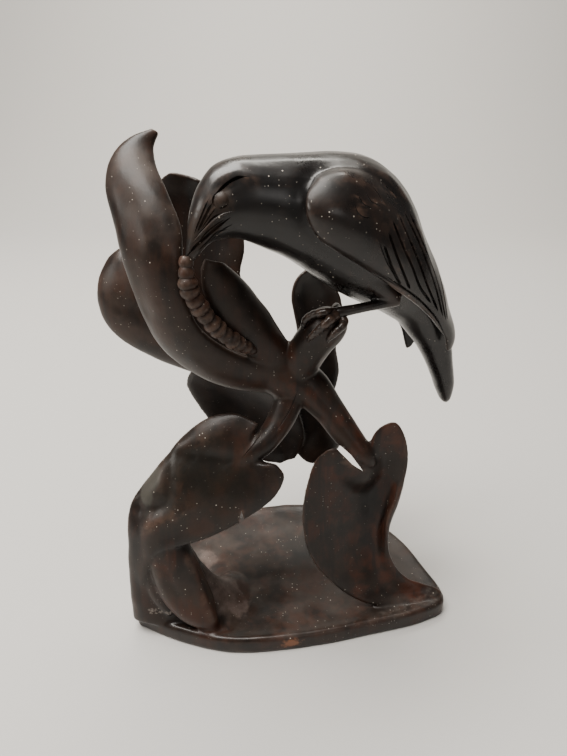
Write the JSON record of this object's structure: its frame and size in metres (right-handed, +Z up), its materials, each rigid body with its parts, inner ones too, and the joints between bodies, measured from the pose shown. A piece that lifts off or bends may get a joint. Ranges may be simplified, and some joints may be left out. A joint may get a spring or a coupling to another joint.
{
  "type": "wooden bird sculpture",
  "caption": "Carved dark hardwood ornament: a long-winged bird perched on a branch of broad leaves holds a grub in its beak, all cut in one with a thin irregular plinth.",
  "frame": {"origin": "middle of the carving's plan, on the underside of the plinth", "axes": "+Z up, -Y towards the front, where the grub shows, +X towards the bird's tail"},
  "size_m": [0.2194, 0.1324, 0.3004],
  "materials": {
    "dark_wood": "polished near-black hardwood with reddish brown worn places"
  },
  "bodies": {
    "root": {"bird_carving": "dark_wood"}
  },
  "joints": []
}
